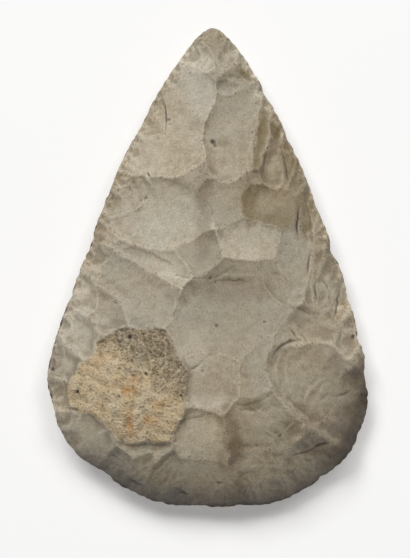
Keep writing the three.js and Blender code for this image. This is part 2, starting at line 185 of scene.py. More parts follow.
def edge_distance(x, y, soft=0.8):
    """Root of (2 over I, less soft squared), where I sums each bit of edge over its
    distance cubed: the plain distance near the edge, and smooth far inside."""
    after = np.roll(RIM, -1, 0)
    total = np.zeros_like(x)
    for (mx, my), length in zip((RIM + after) / 2, np.hypot(*(after - RIM).T)):
        total += length / ((x - mx) ** 2 + (y - my) ** 2 + soft ** 2) ** 1.5
    return np.sqrt(np.maximum(2 / total - soft ** 2, 0))


def dome(y, d):
    """Full height times (1 less e to the minus slope times distance over full
    height); steep at the butt and thin toward the tip."""
    t = np.clip((y + LENGTH / 2) / LENGTH, 0, 1)
    slope, full = 0.64 + 0.9 * (1 - t) ** 3, 46 - 14 * t
    return full * (1 - np.exp(-slope * d / full))


WANDER = [[0.62, 0.21, 0.13, 1.3], [0.42, -0.17, 0.37, 4.1],
          [0.26, 0.63, -0.41, 2.2], [0.16, 0.85, 0.97, 0.4]]


def wander(x, y):
    """Each place shifts by a few crossed sine waves, so no ridge is a clean curve."""
    wx = x + sum(s * np.sin(kx * x + ky * y + p) for s, kx, ky, p in WANDER)
    wy = y + sum(s * np.sin(-ky * x + kx * y + p * 1.7 + 0.8) for s, kx, ky, p in WANDER)
    return wx, wy


def dishes(x, y, scars):
    """The deepest of all dishes at each point. A dish is its rim depth plus HOLLOW times
    its own depth times (1 less q cubed), q being 0 at the centre and 1 on the rim.
    Also gives which scar won, how far the point is from where its blow landed, and by
    how much it beat the next deepest."""
    deepest, second, from_blow = np.zeros_like(x), np.zeros_like(x), np.zeros_like(x)
    owner = np.full(x.shape, -1)
    for k, (cx, cy, heading, reach, half, depth, level, *_) in enumerate(scars):
        a, dx, dy = math.radians(heading), x - cx, y - cy
        u, v = dx * math.cos(a) + dy * math.sin(a), dy * math.cos(a) - dx * math.sin(a)
        q = np.hypot(np.where(u > 0, u / reach, u / (1.9 * reach)), v / half)
        dish = level + HOLLOW * depth * (1 - q ** 3) - 1.3 * np.maximum(q - 1, 0)
        wins = (dish > deepest) & (q <= 2.4)
        second = np.where(wins, deepest, np.where(q <= 2.4, np.maximum(second, dish), second))
        deepest = np.where(wins, dish, deepest)
        owner = np.where(wins, k, owner)
        from_blow = np.where(wins, np.hypot(u + 1.6 * reach, v), from_blow)
    return deepest, owner, from_blow, deepest - second


def border_distance(x, y, scars):
    """Distance to the nearest ridge between two dishes: how much the deepest beats the
    next by, over how fast that lead grows, read from two points a hair away."""
    hair = 0.05
    lead = dishes(x, y, scars)[3]
    growth = np.hypot(dishes(x + hair, y, scars)[3] - lead, dishes(x, y + hair, scars)[3] - lead) / hair
    return np.minimum(lead / np.maximum(growth, 0.06), 3.0)


# %% [markdown]
# ## Trimming, the under face and the patch of skin
#
# The maker finished the edge by pressing off small flakes all round it. They
# come from a loop with repeatable dice, as do the larger removals of the
# hidden face, which nobody sees and which is plainer. One patch of the
# nodule's chalky outer skin was never struck off; it is let into the face.

# %% Repeatable dice, trimmed edges, the under face and the skin patch
SKIN_X, SKIN_Y, SKIN_FLOOR, SKIN_TILT, SKIN_LIP = -25.0, -39.0, 1.4, 0.06, 1.1
SKIN_RADII = np.array([18.4, 19.2, 19.2, 21.0, 20.2, 20.2, 18.3, 16.8, 19.0,
                       22.1, 22.1, 16.7, 15.5, 17.4, 18.3, 21.6, 18.4, 19.0])
REST_LONG, REST_WIDE, REST_Y = 22.0, 15.0, -20.0


def dice(seed):
    """Rolls between 0 and 1: each seed is the last one times 48271, modulo 2^31 - 1."""
    while True:
        seed = (seed * 48271) % 2147483647
        yield seed / 2147483647


def trimming(seed, count, reach, half, depth):
    """Small flakes at roughly equal steps round the edge, pointing inward."""
    roll, out = dice(seed), []
    for k in range(count):
        px, py = RIM[int((k + 0.35 * next(roll)) / count * len(RIM)) % len(RIM)]
        inward = math.degrees(math.atan2(0.5 * (-18 - py), -px)) + 40 * (next(roll) - 0.5)
        size = 0.65 + 0.7 * next(roll)
        out.append([px, py, inward, reach * size, half * size, depth * (0.5 + next(roll)), 0])
    return out


def under_scars():
    """Two rounds of larger removals worked inward from the edge of the under face."""
    roll, out = dice(29), []
    rounds = [(13, 0.52, 0.42, 1.3, 0.5), (19, 0.24, 0.2, 0.9, 1.7)]
    for count, share, width, depth, level in rounds:
        for k in range(count):
            px, py = RIM[int((k + 0.5 * next(roll)) / count * len(RIM)) % len(RIM)]
            tx, ty = 1 - px, min(max(py, -46), 48) - py + 8 * (next(roll) - 0.5)
            far, size = math.hypot(tx, ty), 0.85 + 0.35 * next(roll)
            out.append([px + tx * share * 0.8, py + ty * share * 0.8,
                        math.degrees(math.atan2(ty, tx)) + 30 * (next(roll) - 0.5),
                        max(5, far * share * size), max(3.5, far * width * size),
                        depth * (0.7 + 0.6 * next(roll)), level + 0.8 * next(roll)])
    return out


UPPER_TRIM, LOWER_TRIM = trimming(5, 44, 5.0, 3.6, 0.5), trimming(17, 40, 6.0, 4.4, 0.8)
UNDER_SCARS = under_scars()


def skin_reach(x, y):
    """Distance from the patch's centre over its radius in that direction: 0 at the
    centre, 1 on the border. Also gives that radius."""
    dx, dy = x - SKIN_X, y - SKIN_Y
    turn = (np.arctan2(dy, dx) / (2 * np.pi) + 1) % 1 * len(SKIN_RADII)
    i = np.floor(turn).astype(int)
    f = ease(0, 1, turn - i)
    radius = SKIN_RADII[i % 18] * (1 - f) + SKIN_RADII[(i + 1) % 18] * f
    return np.hypot(dx, dy) / radius, radius


def middle_plane(x, y):
    """Edge height plus a slight twist, corner to corner."""
    return EDGE_HEIGHT + EDGE_TWIST * (x / 53) * (y / 80)


# %% [markdown]
# ## Fine relief that only the eye needs
#
# The solid stops at the scars. A hand lens shows more: ripples that ran
# through the stone from each blow, hairline steps where a flake broke short,
# grit in the chalky skin, pits, and a nibbled edge. All of it is height added
# to the same map. A bump texture could fake it, but real height also changes
# the outline and catches side light properly.

# %% Random grain on a lattice
def grain(x, y, size, seed):
    """Random heights from -1 to 1 on a square lattice, size apart and turned by its
    own angle, eased between the lattice points."""
    n = 256
    lattice = np.random.default_rng(seed).uniform(-1, 1, (n, n))
    turn = 0.7 + 1.3 * seed
    u = (x * math.cos(turn) - y * math.sin(turn)) / size
    v = (x * math.sin(turn) + y * math.cos(turn)) / size
    i, j = np.floor(u).astype(int), np.floor(v).astype(int)
    f, g = ease(0, 1, u - i), ease(0, 1, v - j)
    low = lattice[i % n, j % n] * (1 - f) + lattice[(i + 1) % n, j % n] * f
    high = lattice[i % n, (j + 1) % n] * (1 - f) + lattice[(i + 1) % n, (j + 1) % n] * f
    return low * (1 - g) + high * g


# %% Seams: three points of an arc, width, groove depth, darkening held (partly ground-in earth, partly painted shadow), drop on its right side
SEAMS = [
    [-15.6, 57.0, -14.0, 51.5, -14.3, 44.0, 0.35, 0.22, 0.8, 0.15],
    [-20.3, 32.3, -19.6, 31.2, -18.9, 30.0, 0.55, 0.65, 0.9, 0.0],
    [-21.4, 31.2, -20.2, 29.4, -18.8, 28.0, 0.70, -0.50, 0.0, 0.0],
    [-8.0, 33.4, -4.5, 34.8, -2.0, 38.0, 0.50, 0.10, 0.4, 0.1],
    [20.4, 42.0, 18.3, 38.8, 16.2, 35.9, 0.50, -0.35, 0.0, 0.0],
    [19.9, 39.7, 18.8, 37.0, 18.4, 31.5, 0.60, 0.35, 0.7, 0.0],
    [16.5, 45.5, 15.6, 42.0, 15.2, 38.0, 0.60, 0.30, 0.5, 0.0],
    [24.0, 39.0, 25.7, 34.0, 27.1, 27.4, 0.50, 0.35, 0.7, 0.0],
    [30.2, 21.0, 29.6, 15.5, 29.6, 10.8, 0.60, 0.50, 1.0, 0.0],
    [32.4, 23.0, 34.2, 14.7, 34.9, 8.3, 0.60, 0.35, 0.6, 0.0],
    [31.0, 13.3, 32.6, 11.0, 33.5, 8.0, 0.50, 0.30, 0.5, 0.0],
    [-28.4, 6.7, -21.0, 5.9, -11.0, 1.0, 0.50, 0.10, 0.45, 0.35],
    [-10.6, -2.4, -5.0, -3.4, 0.6, -3.2, 0.45, 0.22, 0.6, 0.0],
    [0.6, -3.3, 5.0, -1.6, 8.2, 0.9, 0.50, 0.25, 0.6, 0.0],
    [3.0, -2.0, 9.0, -2.5, 15.5, -2.2, 0.90, -0.20, 0.0, 0.0],
    [1.5, -3.6, 8.0, -3.9, 15.5, -4.3, 0.45, 0.12, 0.75, 0.25],
    [14.8, 26.7, 17.0, 27.6, 19.6, 27.4, 0.45, -0.25, 0.0, 0.0],
    [17.8, -1.5, 20.5, -9.0, 26.7, -12.7, 0.60, -0.15, 0.0, 0.0],
    [20.5, -1.5, 24.0, -2.2, 26.5, -4.2, 0.60, 0.15, 0.4, 0.1],
    [34.3, 6.5, 33.2, 1.5, 32.8, -2.5, 0.50, 0.35, 0.8, 0.0],
    [35.8, 0.0, 34.2, -4.0, 34.9, -12.0, 0.45, -0.30, 0.0, 0.0],
    [35.9, -2.7, 35.3, -7.2, 35.8, -11.0, 0.45, 0.35, 0.8, 0.0],
    [38.1, -3.9, 39.4, -6.0, 40.3, -9.0, 0.60, 0.30, 0.5, 0.0],
    [43.7, -7.0, 42.8, -12.0, 41.7, -17.4, 0.55, 0.40, 0.9, 0.0],
    [42.0, -18.9, 43.5, -18.5, 45.2, -19.0, 0.60, -0.30, 0.0, 0.0],
    [44.3, -19.4, 43.7, -22.0, 43.9, -25.5, 0.50, 0.30, 0.7, 0.0],
    [50.8, -30.8, 48.7, -34.0, 44.3, -35.6, 1.00, 0.35, 0.6, 0.0],
    [42.4, -42.2, 44.6, -41.8, 46.8, -40.4, 0.45, 0.30, 0.9, 0.0],
    [36.8, -44.0, 38.2, -42.2, 40.4, -41.4, 0.50, 0.15, 0.4, 0.0],
    [26.8, -12.6, 30.2, -13.6, 34.2, -15.6, 0.60, 0.15, 0.6, 0.15],
    [24.9, -14.3, 23.0, -17.4, 21.0, -21.0, 0.70, -0.12, 0.0, 0.0],
    [20.6, -30.2, 24.6, -24.8, 31.0, -23.7, 0.75, 0.45, 1.0, 0.35],
    [27.2, -19.6, 28.2, -21.6, 30.6, -23.2, 0.45, 0.22, 0.7, 0.0],
    [29.6, -21.2, 31.6, -23.0, 33.6, -25.6, 0.45, 0.18, 0.5, 0.0],
    [38.9, -36.0, 34.2, -39.5, 31.7, -45.0, 1.10, -0.32, 0.0, 0.0],
    [40.9, -37.5, 37.0, -41.0, 35.0, -46.0, 1.10, -0.14, 0.0, 0.0],
    [24.0, -28.0, 22.2, -33.5, 23.3, -39.0, 0.80, -0.14, 0.0, 0.0],
    [27.4, -26.5, 25.4, -32.5, 26.6, -39.5, 1.00, -0.10, 0.0, 0.0],
    [-7.4, -33.2, -4.4, -32.3, -1.5, -29.6, 0.50, 0.30, 0.8, 0.1],
    [-1.5, -29.6, 2.0, -28.0, 5.4, -28.2, 0.60, 0.10, 0.3, 0.1],
    [-10.0, -51.0, -3.6, -48.4, 4.8, -46.9, 0.60, 0.15, 0.6, 0.30],
    [6.6, -42.8, 13.0, -44.4, 22.9, -39.6, 0.55, 0.18, 0.5, 0.20],
    [9.4, -46.6, 13.2, -46.5, 17.2, -47.8, 0.50, 0.20, 0.6, 0.0],
    [12.6, -44.8, 14.8, -46.4, 17.6, -44.6, 0.45, 0.12, 0.4, 0.0],
    [9.5, -58.3, 15.5, -58.6, 21.5, -58.3, 1.80, 0.35, 0.2, 0.0],
    [26.6, -43.1, 30.2, -46.2, 33.4, -48.8, 0.60, 0.20, 0.7, 0.0],
    [33.4, -48.8, 37.2, -50.0, 42.0, -43.8, 0.60, 0.15, 0.5, 0.0],
    [27.0, -61.8, 31.5, -60.8, 35.4, -59.6, 0.50, 0.35, 0.9, 0.20],
    [33.4, -60.4, 37.0, -58.2, 41.2, -57.8, 0.60, 0.40, 1.0, 0.30],
    [26.0, -53.0, 27.1, -51.6, 28.6, -50.7, 0.55, -0.35, 0.0, 0.0],
    [22.7, -55.3, 23.5, -54.8, 24.3, -54.2, 0.45, 0.25, 0.9, 0.0],
    [8.8, -71.2, 11.4, -68.0, 15.6, -66.5, 0.60, 0.15, 0.5, 0.15],
    [2.0, -70.4, 3.6, -71.0, 5.4, -71.0, 0.45, 0.25, 0.9, 0.0],
    [1.8, -74.6, 3.6, -73.8, 5.6, -74.1, 0.50, 0.15, 0.5, 0.0],
    [13.3, -72.6, 12.0, -74.0, 11.5, -76.2, 0.55, 0.30, 0.7, 0.0],
    [23.2, -66.4, 24.2, -67.8, 25.8, -67.2, 0.50, 0.20, 0.6, 0.0],
    [27.4, -67.8, 29.0, -66.0, 30.8, -64.8, 0.45, 0.20, 0.6, 0.0],
    [32.4, -66.6, 34.0, -65.0, 35.2, -63.4, 0.45, 0.15, 0.5, 0.0],
    [25.0, -71.0, 28.0, -69.8, 31.2, -71.4, 0.50, 0.15, 0.5, 0.1],
    [-37.2, -63.6, -31.6, -62.2, -27.4, -65.2, 0.70, 0.20, 0.6, 0.1],
    [-35.0, -66.6, -32.0, -64.6, -29.0, -66.2, 0.60, 0.15, 0.4, 0.1],
    [-26.8, -70.0, -24.0, -71.2, -20.8, -72.6, 0.60, 0.30, 0.9, 0.0],
    [-12.0, -61.4, -16.0, -66.2, -20.2, -71.4, 0.80, -0.25, 0.0, 0.25],
    [-17.2, -77.4, -14.8, -75.0, -12.1, -72.6, 0.45, -0.10, 0.0, 0.90],
    [-12.1, -72.6, -9.2, -73.2, -6.2, -75.8, 0.50, 0.10, 0.6, 0.50],
    [-10.6, -75.2, -8.6, -74.5, -6.4, -75.4, 0.50, 0.25, 1.0, 0.0],
    [-43.4, -3.0, -41.0, -3.8, -39.2, -5.8, 0.90, 0.30, 0.6, 0.0],
    [-46.9, -14.9, -44.2, -16.2, -42.0, -18.2, 0.60, 0.15, 0.4, 0.0],
    [-46.6, -25.7, -44.6, -27.2, -43.0, -29.2, 0.80, 0.20, 0.5, 0.1],
    [-31.6, -10.8, -30.6, -11.4, -29.4, -11.6, 0.50, 0.20, 0.8, 0.0],
    [-21.0, -7.2, -21.8, -11.5, -25.2, -16.6, 0.50, -0.18, 0.0, 0.0],
    [-13.8, -18.8, -10.8, -13.5, -10.3, -9.4, 0.50, 0.12, 0.5, 0.25],
    [-37.2, 14.6, -33.2, 13.4, -29.0, 10.4, 0.60, 0.12, 0.5, 0.15],
    [-35.9, 16.0, -30.0, 17.5, -24.9, 19.6, 0.60, -0.18, 0.0, 0.0],
    [-24.7, 19.4, -22.7, 20.7, -21.3, 22.2, 0.70, -0.50, 0.0, 0.0],
    [-21.7, 22.9, -20.8, 23.3, -20.0, 24.2, 0.60, 0.40, 0.85, 0.0],
    [-36.9, 10.0, -33.0, 9.0, -28.7, 7.8, 0.60, 0.12, 0.4, 0.1],
    [-36.6, 7.4, -35.7, 5.7, -35.7, 3.8, 0.70, 0.15, 0.5, 0.0],
    [-32.5, -42.0, -28.0, -35.6, -18.0, -35.4, 0.70, 0.25, 0.5, 0.25],
    [-13.2, -55.0, -12.0, -56.4, -10.2, -56.6, 0.60, 0.25, 0.6, 0.0],
    [-49.4, -46.8, -45.0, -46.4, -41.5, -47.6, 0.60, 0.20, 0.9, 0.45],
    [-41.5, -47.6, -37.5, -49.6, -34.5, -52.8, 0.55, 0.12, 0.7, 0.35],
    [-33.0, -52.9, -30.0, -55.4, -27.5, -56.6, 0.55, 0.12, 0.6, 0.35],
    [0.2, 70.2, -1.2, 67.8, -2.8, 65.2, 0.40, 0.12, 0.5, 0.0],
    [10.2, 69.6, 8.4, 67.4, 6.4, 65.6, 0.50, 0.12, 0.4, 0.15],
    [4.4, 63.2, 8.6, 64.2, 12.6, 61.8, 0.60, 0.12, 0.4, 0.25],
]
PITS = [                     # x, y, radius, depth
    [1.5, 41.9, 1.05, 0.30], [2.2, 40.6, 0.85, 0.22], [-43.4, -40.8, 0.75, 0.90], [2.7, -19.0, 0.70, 0.22],
    [18.5, -17.6, 0.55, 0.28], [-2.0, -33.8, 0.50, 0.30], [12.0, 51.0, 0.38, 0.22], [-13.1, 49.4, 0.50, 0.22],
    [-13.0, 47.9, 0.45, 0.22], [14.6, 44.9, 0.35, 0.18], [25.6, 7.9, 0.55, 0.28], [48.2, -22.8, 1.00, 0.30],
    [31.7, -46.7, 0.60, 0.20], [24.7, -20.6, 0.50, 0.15], [0.6, -3.3, 0.65, 0.25], [2.3, -4.7, 0.50, 0.20],
    [-10.6, -2.5, 0.50, 0.25], [14.0, 62.5, 0.45, 0.15], [-9.0, -41.5, 0.70, 0.40], [-25.8, -22.6, 0.90, 0.45],
    [-21.3, -21.6, 0.60, 0.40], [-29.2, -24.3, 0.55, 0.35], [-20.4, -34.6, 0.70, 0.40], [-51.9, -33.5, 0.90, 0.30],
]


# %% Reading the seams, pits and nibbles as heights
def seam_relief(x, y):
    """For each seam, the nearest of its short straight bits. Groove depth times e to
    the minus (distance over width) squared, plus a drop that fades over 4 mm on its
    right side; both shrink to nothing at the seam's ends. Gives the depth, and the
    darkening of the line, partly ground-in earth and partly painted shadow in the
    groove or step, which falls evenly to nothing 1 mm away."""
    depth, dirt_and_shadow = np.zeros_like(x), np.zeros_like(x)
    for x0, y0, xm, ym, x1, y1, width, groove, dark, drop in SEAMS:
        reach = 4 * width + (8 if drop else 0)
        near = ((x > min(x0, xm, x1) - reach) & (x < max(x0, xm, x1) + reach)
                & (y > min(y0, ym, y1) - reach) & (y < max(y0, ym, y1) + reach))
        px, py = x[near], y[near]
        t = np.linspace(0, 1, 13)
        weights = [(1 - t) * (1 - 2 * t), 4 * t * (1 - t), t * (2 * t - 1)]
        lx = sum(w * v for w, v in zip(weights, (x0, xm, x1)))
        ly = sum(w * v for w, v in zip(weights, (y0, ym, y1)))
        best, place, side = np.full(px.shape, 1e9), np.zeros(px.shape), np.zeros(px.shape)
        for k in range(12):
            bx, by = lx[k + 1] - lx[k], ly[k + 1] - ly[k]
            s = np.clip(((px - lx[k]) * bx + (py - ly[k]) * by) / (bx * bx + by * by), 0, 1)
            ox, oy = px - lx[k] - s * bx, py - ly[k] - s * by
            gap = np.hypot(ox, oy)
            wins = gap < best
            best = np.where(wins, gap, best)
            place = np.where(wins, (k + s) / 12, place)
            side = np.where(wins, np.where(bx * oy - by * ox < 0, 1.0, 0.0), side)
        ends = np.clip(4 * place * (1 - place), 0, 1) ** 0.5
        line = np.exp(-(best / (0.75 * width * (0.45 + 0.55 * ends))) ** 2) * ends
        depth[near] += groove * line + drop * side * ends * np.exp(-best / 4)
        # The dark line is partly ground-in earth and partly painted shadow in the groove or step.
        dirt_and_shadow[near] = np.maximum(dirt_and_shadow[near], dark * ends * np.maximum(0, 1 - best))
    return depth, dirt_and_shadow


def pit_relief(x, y):
    """Each pit is its depth times e to the minus (distance over radius) to the fourth."""
    depth, dirt_and_shadow = np.zeros_like(x), np.zeros_like(x)
    for px, py, radius, deep in PITS:
        hole = np.exp(-(((x - px) ** 2 + (y - py) ** 2) / radius ** 2) ** 2)
        depth += deep * hole
        # Each pit is darkened partly by ground-in earth and partly as painted shade in the hollow.
        dirt_and_shadow = np.maximum(dirt_and_shadow, hole * min(1.0, 0.4 + 1.6 * deep))
    return depth, dirt_and_shadow


def skin_relief(x, y):
    """Lumps of three sizes, less pits wherever the finest grain is high."""
    lumps = 0.36 * grain(x, y, 4.6, 3) + 0.22 * grain(x, y, 2.2, 4) + 0.16 * grain(x, y, 1.2, 5)
    pits = 0.35 * ease(0.5, 0.9, grain(x, y, 1.3, 6)) * ease(-0.4, 0.4, grain(x, y, 7.0, 7))
    return lumps - pits


def flint_relief(x, y):
    """Slow swells, then finer and fainter ones."""
    return (0.16 * grain(x, y, 9.0, 11) + 0.075 * grain(x, y, 4.3, 12)
            + 0.032 * grain(x, y, 2.1, 13) + 0.016 * grain(x, y, 1.1, 14))


def chips(x, y, size, seed, stretch=1.3):
    """A field of small shell-shaped hollows, one to each cell of a jittered lattice and
    longer inward than across. Every point takes the deepest: the least, over the nine
    nearest hollows, of the hollow's own floor plus its distance squared over size
    squared. Runs from 0 on the deepest floors to at most 0.9 on the ridges."""
    n, rng = 128, np.random.default_rng(seed)
    shift_x, shift_y = rng.uniform(0.1, 0.9, (n, n)), rng.uniform(0.1, 0.9, (n, n))
    floors, curve = rng.uniform(0, 0.35, (n, n)), rng.uniform(0.6, 1.5, (n, n))
    i, j = np.floor(x / size).astype(int), np.floor(y / size).astype(int)
    lowest = np.full(x.shape, 9.0)
    for di in (-1, 0, 1):
        for dj in (-1, 0, 1):
            a, b = (i + di) % n, (j + dj) % n
            cx, cy = (i + di + shift_x[a, b]) * size, (j + dj + shift_y[a, b]) * size
            inward = np.arctan2(0.5 * (-18 - cy), -cx)
            dx, dy = x - cx, y - cy
            u = (dx * np.cos(inward) + dy * np.sin(inward)) / stretch
            v = dy * np.cos(inward) - dx * np.sin(inward)
            lowest = np.minimum(lowest, floors[a, b] + curve[a, b] * (u * u + v * v) / size ** 2)
    return np.minimum(lowest, 0.9)


ARRIS, ARRIS_WIDTH = 0.16, 0.6    # how far a ridge between two scars stands up, and how wide
BATTERED = [                 # x, y, radius, share: where small chips crowd the face
    [33.0, -60.0, 16.0, 0.8], [14.0, -72.0, 12.0, 0.6], [-16.0, -72.0, 12.0, 0.6],
    [41.0, -8.0, 9.0, 0.5], [25.0, 40.0, 9.0, 0.5], [-28.0, 30.0, 8.0, 0.6],
    [-39.0, 3.0, 8.0, 0.4], [10.0, 66.0, 9.0, 0.4], [46.0, -24.0, 8.0, 0.4],
]


def battering(x, y, d):
    """How chipped each place is, 0.02 to 1: strongest at the edge, fading over 3 mm,
    and in the battered patches."""
    amount = 0.6 * np.exp(-d / 3)
    for bx, by, radius, share in BATTERED:
        amount = np.maximum(amount, share * np.exp(-((x - bx) ** 2 + (y - by) ** 2) / radius ** 2))
    return 0.02 + 0.98 * amount


def ripples(owner, from_blow):
    """A small wave along the distance from where each blow landed, with its own
    spacing and strength per scar."""
    spacing = 2.6 + 1.9 * (owner * 0.618 % 1)
    strength = 0.004 + 0.013 * (owner * 0.377 % 1)
    return np.where(owner >= 0, strength * np.cos(2 * np.pi * from_blow / spacing + owner), 0)


# %% Depth worked off each face, and the heights
FINE_UPPER = trimming(41, 120, 2.3, 1.7, 0.42)
FINE_LOWER = trimming(43, 90, 2.6, 2.0, 0.42)


def upper_work(x, y, d):
    """Scars plus trimming, with the skin patch let in; then the fine relief on top.
    Gives the depth and a dictionary of what covers what, for the materials."""
    wx, wy = wander(x, y)
    scars, owner, from_blow, _ = dishes(wx, wy, UPPER_SCARS)
    border = border_distance(wx, wy, UPPER_SCARS)
    trims = dishes(wx, wy, UPPER_TRIM)[0]
    q, radius = skin_reach(wx, wy)
    across = 0.7071 * (wy - SKIN_Y - (wx - SKIN_X))
    lip = SKIN_LIP * np.exp(-(((q - 1) * radius / 3.2) ** 2)) * ease(4, 14, across)
    flaked = scars + trims + np.where(q > 1, lip, 0)
    skin = SKIN_FLOOR + SKIN_TILT * across
    skin += 0.25 * np.sin(0.9 * wx + 0.5 * wy) * np.sin(0.8 * wy - 0.4 * wx)
    ragged = q + (0.45 * grain(x, y, 1.8, 21) + 0.35 * grain(x, y, 0.9, 22)) / radius
    inside = ease(1.03, 0.97, ragged)
    seam, seam_dirt_and_shadow = seam_relief(x + 0.3 * grain(x, y, 1.6, 31), y + 0.3 * grain(x, y, 1.6, 32))
    pit, pit_dirt_and_shadow = pit_relief(x + 0.25 * grain(x, y, 0.8, 33), y + 0.25 * grain(x, y, 0.8, 34))
    jx, jy = x + 0.8 * grain(x, y, 3.0, 35), y + 0.8 * grain(x, y, 3.0, 36)
    chipped = (1.7 * chips(jx, jy, 6.5, 91) + 0.8 * chips(jx, jy, 3.1, 92)
               + 0.35 * chips(jx, jy, 1.7, 93))
    fine = dishes(x, y, FINE_UPPER)[0] - flint_relief(x, y) + ripples(owner, from_blow)
    ridges = ARRIS * ease(-0.5, 0.5, grain(x, y, 9.0, 37)) * np.exp(-border / ARRIS_WIDTH)
    fine -= battering(x, y, d) * chipped + ridges
    depth = (flaked + fine) * (1 - inside) + (skin - skin_relief(x, y)) * inside + seam + pit
    return depth, {"owner": owner, "skin": inside, "border": border,
                   "dirt_and_shadow": np.maximum(seam_dirt_and_shadow, pit_dirt_and_shadow)}


def coarse_upper(x, y):
    """The upper depth as the solid has it, which the under face needs at the edge."""
    wx, wy = wander(x, y)
    return dishes(wx, wy, UPPER_SCARS)[0] + dishes(wx, wy, UPPER_TRIM)[0]


def lower_work(x, y, d):
    """Removals and trimming of the under face, fading out on the resting spot."""
    on_rest = np.hypot(x / REST_WIDE, (y - REST_Y) / REST_LONG)
    wx, wy = wander(x + 11, y - 7)
    wx, wy = wx - 11, wy + 7
    scars, owner, from_blow, _ = dishes(wx, wy, UNDER_SCARS)
    work = scars + dishes(wx, wy, LOWER_TRIM)[0] + dishes(x, y, FINE_LOWER)[0]
    work += ripples(owner, from_blow) - flint_relief(x + 40, y)
    return work * ease(0.95, 1.45, on_rest) * (1 - np.exp(-d / 4)), owner


# %% [markdown]
# ## The mesh
#
# Rows run from the left edge to the right one, bowed toward the tip so that
# they stay evenly spaced round the broad butt. Both faces share the points
# along the edge, so the skin closes on itself with no seam to weld. A cage
# with a subdivision surface would need fewer points, but it would round off
# the ridges, which are what makes flint look like flint.

# %% Lay out the grid of points
ROWS, UPPER_COLUMNS, LOWER_COLUMNS = 300, 266, 62
NICK_FADE = 1.6              # how far inward a nick of the edge is felt


def nicks(line, seed):
    """How far each point of the edge line moves inward at its many narrow nicks: each
    is its depth times e to the minus (distance along the edge over its width) squared."""
    rng = np.random.default_rng(seed)
    run = np.r_[0, np.cumsum(np.hypot(*np.diff(line, axis=0).T))]
    count = int(run[-1] / 1.9)
    at = (np.arange(count) + rng.uniform(0, 0.8, count)) * 1.9
    wide, deep = rng.uniform(0.6, 1.5, count), rng.uniform(0.05, 0.42, count)
    push = (deep * np.exp(-((run[:, None] - at) / wide) ** 2)).sum(1) - 0.22
    push *= np.clip(run / 2, 0, 1) * np.clip((run[-1] - run) / 2, 0, 1)
    inward = np.c_[1 - line[:, 0], 0.35 * (-18 - line[:, 1])]
    inward /= np.linalg.norm(inward, axis=1, keepdims=True)
    return inward * push[:, None]


def grid_between(left, right, columns):
    """Point (row, u) = the chord from left to right at u, plus (1 less u squared) times
    the gap between the chord's middle and an even walk from tip to butt. The nicks of
    each edge fade inward as e to the minus (distance along the chord over NICK_FADE)."""
    t = np.linspace(-1, 1, columns + 1)
    u = (0.7 * t + 0.3 * np.sin(t * np.pi / 2))[None, :, None]
    f = np.linspace(0, 1, len(left))[:, None]
    walk = (left[:1] * (1 - f) + left[-1:] * f)[:, None, :]
    a, b = left[:, None, :], right[:, None, :]
    half = np.linalg.norm(b - a, axis=2, keepdims=True) / 2
    moved = sum(nicks(line, seed)[:, None, :] * np.exp(-half * (1 + side * u) / NICK_FADE)
                for line, seed, side in ((left, 51, 1), (right, 52, -1)))
    return ((1 - u) * a + (1 + u) * b) / 2 + (1 - u * u) * (walk - (a + b) / 2) + moved


left, right = edge_lines(ROWS + 1)
right[0], right[-1] = left[0], left[-1]
upper_xy = grid_between(left, right, UPPER_COLUMNS)
lower_xy = grid_between(left, right, LOWER_COLUMNS)
print("grid:", upper_xy.shape[:2], "above and", lower_xy.shape[:2], "below")

# %% Heights on the grid
ux, uy = upper_xy[..., 0], upper_xy[..., 1]
upper_d = edge_distance(ux, uy)
upper_d[:, [0, -1]] = 0
upper_d[[0, -1], :] = 0
depth, cover = upper_work(ux, uy, upper_d)
upper_z = middle_plane(ux, uy) + dome(uy, upper_d) - depth

lx, ly = lower_xy[..., 0], lower_xy[..., 1]
lower_d = edge_distance(lx, ly)
lower_d[:, [0, -1]] = 0
lower_d[[0, -1], :] = 0
ceiling = middle_plane(lx, ly) + dome(ly, lower_d) - coarse_upper(lx, ly)
work, lower_owner = lower_work(lx, ly, lower_d)
lower_z = (middle_plane(lx, ly) - coarse_upper(lx, ly) * np.exp(-lower_d / 5)
           - LOWER_SHARE * dome(ly, lower_d) + work)
lower_z = np.maximum(0, np.minimum(lower_z, ceiling - 0.3 * lower_d))
print("upper heights, mm:", round(float(upper_z.min()), 1), "to", round(float(upper_z.max()), 1))

# %% Join the two faces into one closed mesh
inner_upper = (ROWS - 1) * (UPPER_COLUMNS + 1)
upper_ids = np.empty((ROWS + 1, UPPER_COLUMNS + 1), int)
upper_ids[1:-1] = np.arange(inner_upper).reshape(ROWS - 1, UPPER_COLUMNS + 1)
tip_id, butt_id = inner_upper, inner_upper + 1
upper_ids[0], upper_ids[-1] = tip_id, butt_id
lower_ids = np.empty((ROWS + 1, LOWER_COLUMNS + 1), int)
lower_ids[1:-1, 1:-1] = (butt_id + 1
                         + np.arange((ROWS - 1) * (LOWER_COLUMNS - 1)).reshape(ROWS - 1, -1))
lower_ids[:, 0], lower_ids[:, -1] = upper_ids[:, 0], upper_ids[:, -1]
lower_ids[0], lower_ids[-1] = tip_id, butt_id


def gathered(upper, lower):
    """One value per mesh point: the upper grid, tip, butt, then the lower inner grid."""
    return np.concatenate([upper[1:-1].reshape(inner_upper, -1), upper[:1, 0].reshape(1, -1),
                           upper[-1:, 0].reshape(1, -1),
                           lower[1:-1, 1:-1].reshape((ROWS - 1) * (LOWER_COLUMNS - 1), -1)])


def faces_of(ids, upward):
    """Four-sided cells of the inner rows, then fans of triangles at tip and butt."""
    a, b = ids[1:-2, :-1], ids[1:-2, 1:]
    c, d = ids[2:-1, 1:], ids[2:-1, :-1]
    cells = np.stack([a, d, c, b], -1).reshape(-1, 4)
    tips = np.stack([ids[0, :-1], ids[1, :-1], ids[1, 1:]], -1)
    butts = np.stack([ids[-1, :-1], ids[-2, 1:], ids[-2, :-1]], -1)
    groups = [cells, tips, butts]
    return [face for g in groups for face in (g if upward else g[:, ::-1]).tolist()]


